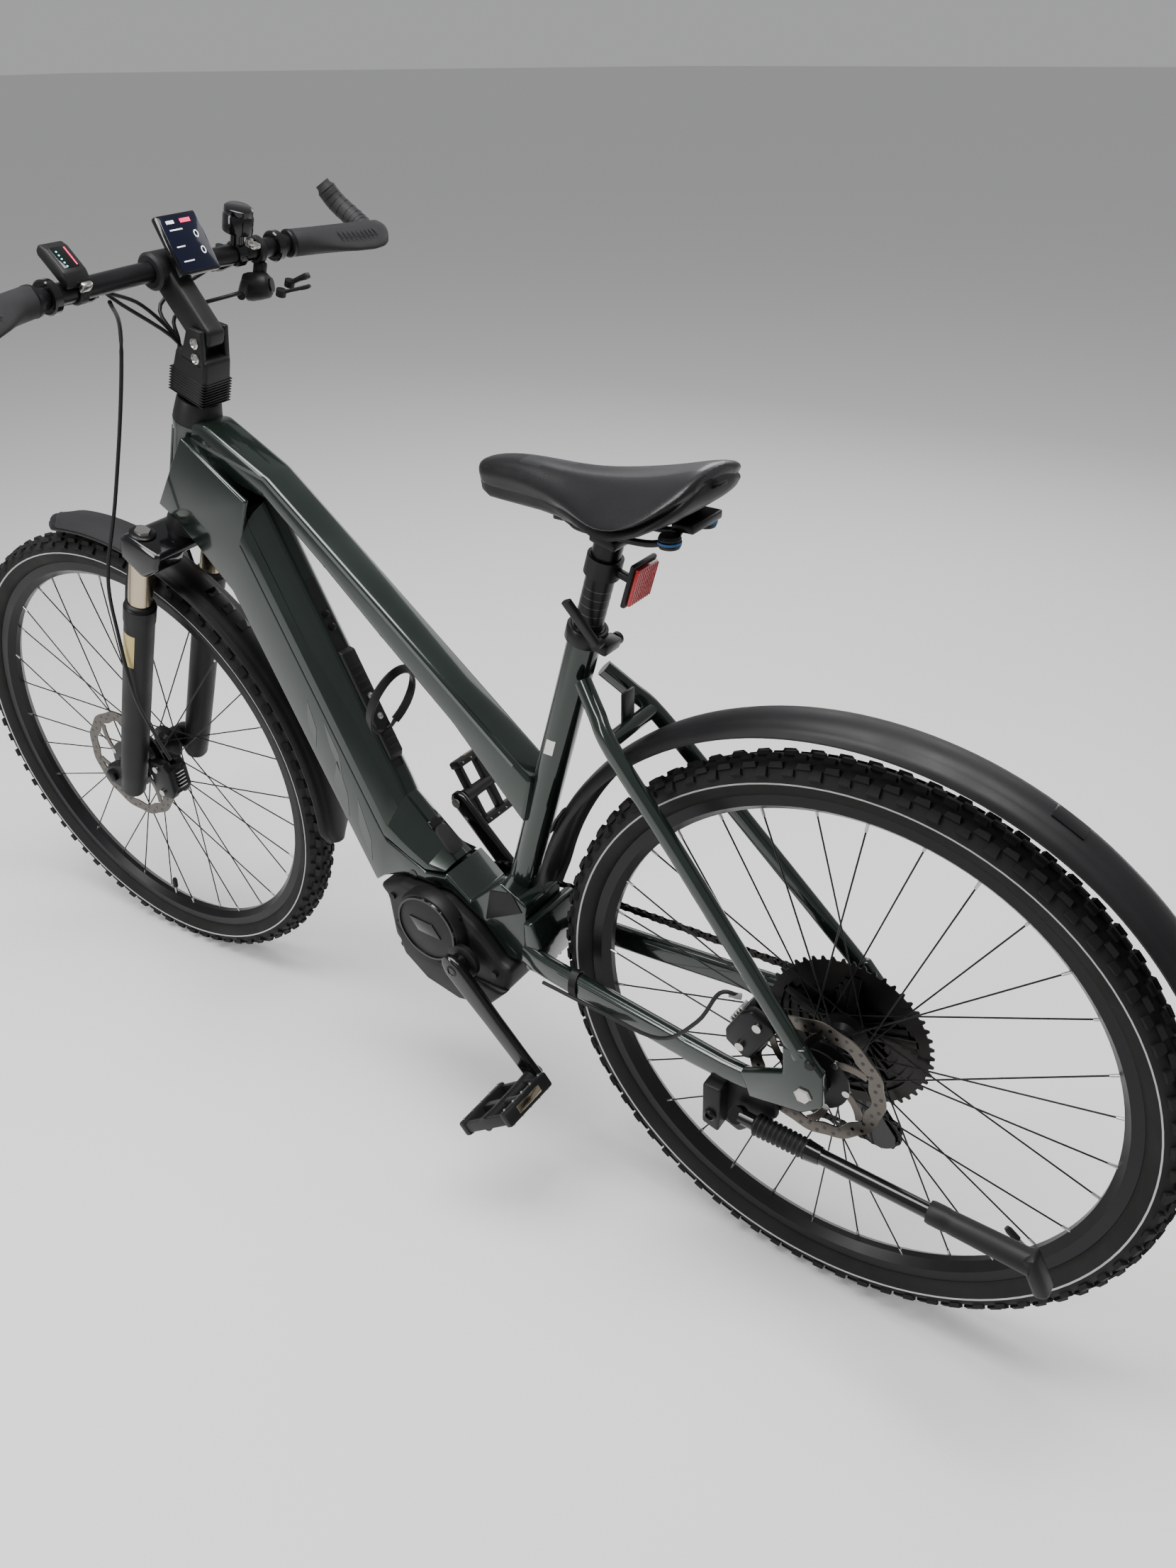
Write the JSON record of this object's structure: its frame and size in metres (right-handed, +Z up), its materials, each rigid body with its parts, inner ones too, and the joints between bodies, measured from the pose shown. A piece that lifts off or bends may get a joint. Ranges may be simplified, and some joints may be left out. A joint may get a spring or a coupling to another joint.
{
  "type": "electric bicycle",
  "caption": "Electric trekking bicycle with suspension fork, mid motor, frame battery, mudguards, disc brakes and a folded side stand.",
  "frame": {"origin": "on the ground under the middle of the bicycle's length and width", "axes": "+X towards the front wheel, +Y to the rider's left, +Z up"},
  "size_m": [1.8749, 0.6772, 1.1494],
  "materials": {
    "paint": "dark green metallic gloss paint",
    "black_plastic": "fine-grained matt black plastic",
    "gloss_black": "gloss black plastic",
    "anodised": "satin black anodised aluminium",
    "tyre": "knobbly black rubber",
    "grip": "soft dark grey rubber with fine texture",
    "steel": "brushed steel",
    "disc": "bronze-grey heat-tinted steel",
    "chain_steel": "oiled dark steel",
    "bronze": "polished champagne-gold anodising",
    "vinyl": "satin black synthetic leather",
    "red": "ribbed red reflector",
    "screen": "glossy dark display with coloured symbols",
    "stripe": "grey-white reflective tape",
    "label": "plain printed sticker",
    "light": "lit indicator"
  },
  "bodies": {
    "frame": {"main_frame": "paint", "rear_triangle": "paint", "motor_unit": "black_plastic", "seat_collar": "anodised", "rear_mudguard": "black_plastic", "rear_caliper": "anodised", "kickstand_bracket": "black_plastic", "chain": "chain_steel", "rear_brake_hose": "black_plastic"},
    "battery": {"battery_pack": "black_plastic", "battery_cover": "paint", "bottle_cage": "black_plastic"},
    "charge_flap": {"charge_port_flap": "grip"},
    "seat_lever": {"seat_quick_release": "anodised"},
    "seatpost": {"seatpost": "anodised", "reflector": "red"},
    "saddle": {"saddle_frame": "anodised", "saddle_shell": "black_plastic", "saddle_cushion": "vinyl"},
    "crank": {"left_crank": "anodised", "right_crank": "anodised", "chainring": "anodised"},
    "left_pedal": {"left_pedal": "black_plastic"},
    "right_pedal": {"right_pedal": "black_plastic"},
    "rear_wheel": {"rear_tyre": "tyre", "rear_wheel": "anodised", "rear_disc": "disc"},
    "cassette": {"cassette": "chain_steel"},
    "steering": {"fork_crown": "anodised", "stem_post": "anodised", "front_brake_hose": "black_plastic"},
    "fork_lowers": {"fork_lowers": "anodised", "front_mudguard": "black_plastic", "front_caliper": "anodised"},
    "front_wheel": {"front_tyre": "tyre", "front_wheel": "anodised", "front_disc": "disc"},
    "cockpit": {"stem_arm": "anodised", "handlebar": "anodised", "left_grip": "grip", "right_grip": "grip", "left_brake_body": "black_plastic", "right_brake_body": "black_plastic", "bell": "black_plastic", "shifter_body": "black_plastic", "remote_body": "black_plastic", "cockpit_cables": "black_plastic"},
    "left_brake_lever": {"left_brake_lever": "anodised"},
    "right_brake_lever": {"right_brake_lever": "anodised"},
    "display": {"display_unit": "screen"},
    "bell_striker": {"bell_striker": "steel"},
    "shifter_lever": {"shifter_lever": "black_plastic"},
    "shifter_release": {"shifter_release": "black_plastic"},
    "remote_button": {"remote_button": "black_plastic"},
    "derailleur_link": {"derailleur_link": "anodised"},
    "derailleur_cage": {"derailleur_cage": "anodised"},
    "upper_pulley": {"upper_pulley": "black_plastic"},
    "lower_pulley": {"lower_pulley": "black_plastic"},
    "kickstand_leg": {"kickstand_leg": "anodised"},
    "kickstand_foot": {"kickstand_foot": "black_plastic"}
  },
  "joints": [
    {"name": "steering", "type": "hinge", "parent": "frame", "child": "steering", "pos_m": [0.34293, 0, 0.85636], "axis": [-0.3502, 0, 0.9367], "range_deg": [-56, 50]},
    {"name": "fork_travel", "type": "slide", "parent": "steering", "child": "fork_lowers", "axis": [-0.3502, 0, 0.9367], "range_m": [0, 0.058], "stiffness_N_per_m": 9000, "springref_m": -0.015, "deforming": ["front_brake_hose"]},
    {"name": "front_wheel_spin", "type": "hinge", "parent": "fork_lowers", "child": "front_wheel", "pos_m": [0.58041, 0.00306, 0.35797], "axis": [-0.0598, 0.998, -0.0224], "continuous": true},
    {"name": "rear_wheel_spin", "type": "hinge", "parent": "frame", "child": "rear_wheel", "pos_m": [-0.5795, 0, 0.358], "axis": [0, 1, 0], "continuous": true},
    {"name": "crank_spin", "type": "hinge", "parent": "frame", "child": "crank", "pos_m": [-0.0975, 0, 0.298], "axis": [0, 1, 0], "continuous": true},
    {"name": "cassette_spin", "type": "hinge", "parent": "frame", "child": "cassette", "pos_m": [-0.5795, 0, 0.358], "axis": [0, 1, 0], "continuous": true},
    {"name": "left_pedal_spin", "type": "hinge", "parent": "crank", "child": "left_pedal", "pos_m": [-0.21771, 0.145, 0.17779], "axis": [0, 1, 0], "continuous": true},
    {"name": "right_pedal_spin", "type": "hinge", "parent": "crank", "child": "right_pedal", "pos_m": [0.02271, -0.145, 0.41821], "axis": [0, 1, 0], "continuous": true},
    {"name": "kickstand_fold", "type": "hinge", "parent": "frame", "child": "kickstand_leg", "pos_m": [-0.5055, 0.085, 0.28], "axis": [-0.0493, -0.8207, -0.5692], "range_deg": [0, 110]},
    {"name": "kickstand_length", "type": "slide", "parent": "kickstand_leg", "child": "kickstand_foot", "axis": [-0.9988, 0.0438, 0.0234], "range_m": [0, 0.025]},
    {"name": "seatpost_height", "type": "slide", "parent": "frame", "child": "seatpost", "axis": [-0.2639, 0, 0.9646], "range_m": [-0.045, 0.11]},
    {"name": "saddle_tilt", "type": "hinge", "parent": "seatpost", "child": "saddle", "pos_m": [-0.2885, 0, 0.905], "axis": [0, 1, 0], "range_deg": [-8, 8]},
    {"name": "seat_quick_release", "type": "hinge", "parent": "frame", "child": "seat_lever", "pos_m": [-0.2755, 0.0215, 0.77374], "axis": [1, 0, 0], "range_deg": [-110, 0]},
    {"name": "stem_tilt", "type": "hinge", "parent": "steering", "child": "cockpit", "pos_m": [0.27708, -0.00038, 1.01537], "axis": [-0.0598, 0.998, -0.0224], "range_deg": [-20, 12], "deforming": ["cockpit_cables"]},
    {"name": "left_brake_lever", "type": "hinge", "parent": "cockpit", "child": "left_brake_lever", "pos_m": [0.36221, 0.13431, 1.07496], "axis": [-0.3502, 0, 0.9367], "range_deg": [0, 14], "stiffness_Nm_per_rad": 1, "springref_deg": -8.59},
    {"name": "right_brake_lever", "type": "hinge", "parent": "cockpit", "child": "right_brake_lever", "pos_m": [0.37752, -0.12116, 1.08068], "axis": [0.3502, 0, -0.9367], "range_deg": [0, 14], "stiffness_Nm_per_rad": 1, "springref_deg": -8.59},
    {"name": "shifter_lever", "type": "hinge", "parent": "cockpit", "child": "shifter_lever", "pos_m": [0.28722, -0.14532, 1.04905], "axis": [0.3502, 0, -0.9367], "range_deg": [0, 12], "stiffness_Nm_per_rad": 0.12, "springref_deg": -11.46},
    {"name": "shifter_release", "type": "hinge", "parent": "cockpit", "child": "shifter_release", "pos_m": [0.2872, -0.12948, 1.0405], "axis": [-0.3502, 0, 0.9367], "range_deg": [0, 6], "stiffness_Nm_per_rad": 0.12, "springref_deg": -11.46},
    {"name": "bell_striker", "type": "hinge", "parent": "cockpit", "child": "bell_striker", "pos_m": [0.29863, -0.10143, 1.09923], "axis": [-0.3502, 0, 0.9367], "range_deg": [0, 25], "stiffness_Nm_per_rad": 0.05, "springref_deg": -11.46},
    {"name": "remote_button", "type": "slide", "parent": "cockpit", "child": "remote_button", "axis": [0.6992, 0.0579, 0.7126], "range_m": [0, 0.0008], "stiffness_N_per_m": 600, "springref_m": -0.001},
    {"name": "display_tilt", "type": "hinge", "parent": "cockpit", "child": "display", "pos_m": [0.31292, -0.01321, 1.10756], "axis": [-0.0598, 0.998, -0.0224], "range_deg": [-5, 30]},
    {"name": "battery_swing", "type": "hinge", "parent": "frame", "child": "battery", "pos_m": [0.21539, 0, 0.82734], "axis": [0, 1, 0], "range_deg": [0, 6]},
    {"name": "charge_flap", "type": "hinge", "parent": "battery", "child": "charge_flap", "pos_m": [-0.00353, 0, 0.44632], "axis": [0, 1, 0], "range_deg": [0, 92]},
    {"name": "derailleur_link", "type": "hinge", "parent": "frame", "child": "derailleur_link", "pos_m": [-0.5875, -0.084, 0.3], "axis": [0, 1, 0], "range_deg": [-8, 14], "stiffness_Nm_per_rad": 4},
    {"name": "derailleur_cage", "type": "hinge", "parent": "derailleur_link", "child": "derailleur_cage", "pos_m": [-0.5915, -0.066, 0.262], "axis": [0, 1, 0], "range_deg": [-12, 35], "stiffness_Nm_per_rad": 1.2, "deforming": ["chain"]},
    {"name": "upper_pulley_spin", "type": "hinge", "parent": "derailleur_cage", "child": "upper_pulley", "pos_m": [-0.5915, -0.066, 0.262], "axis": [0, 1, 0], "continuous": true},
    {"name": "lower_pulley_spin", "type": "hinge", "parent": "derailleur_cage", "child": "lower_pulley", "pos_m": [-0.6295, -0.066, 0.206], "axis": [0, 1, 0], "continuous": true}
  ],
  "couplings": [
    {"joint": "cassette_spin", "follows": "crank_spin", "ratio": 1.8095},
    {"joint": "upper_pulley_spin", "follows": "crank_spin", "ratio": -3.1667},
    {"joint": "lower_pulley_spin", "follows": "crank_spin", "ratio": 3.1667}
  ]
}
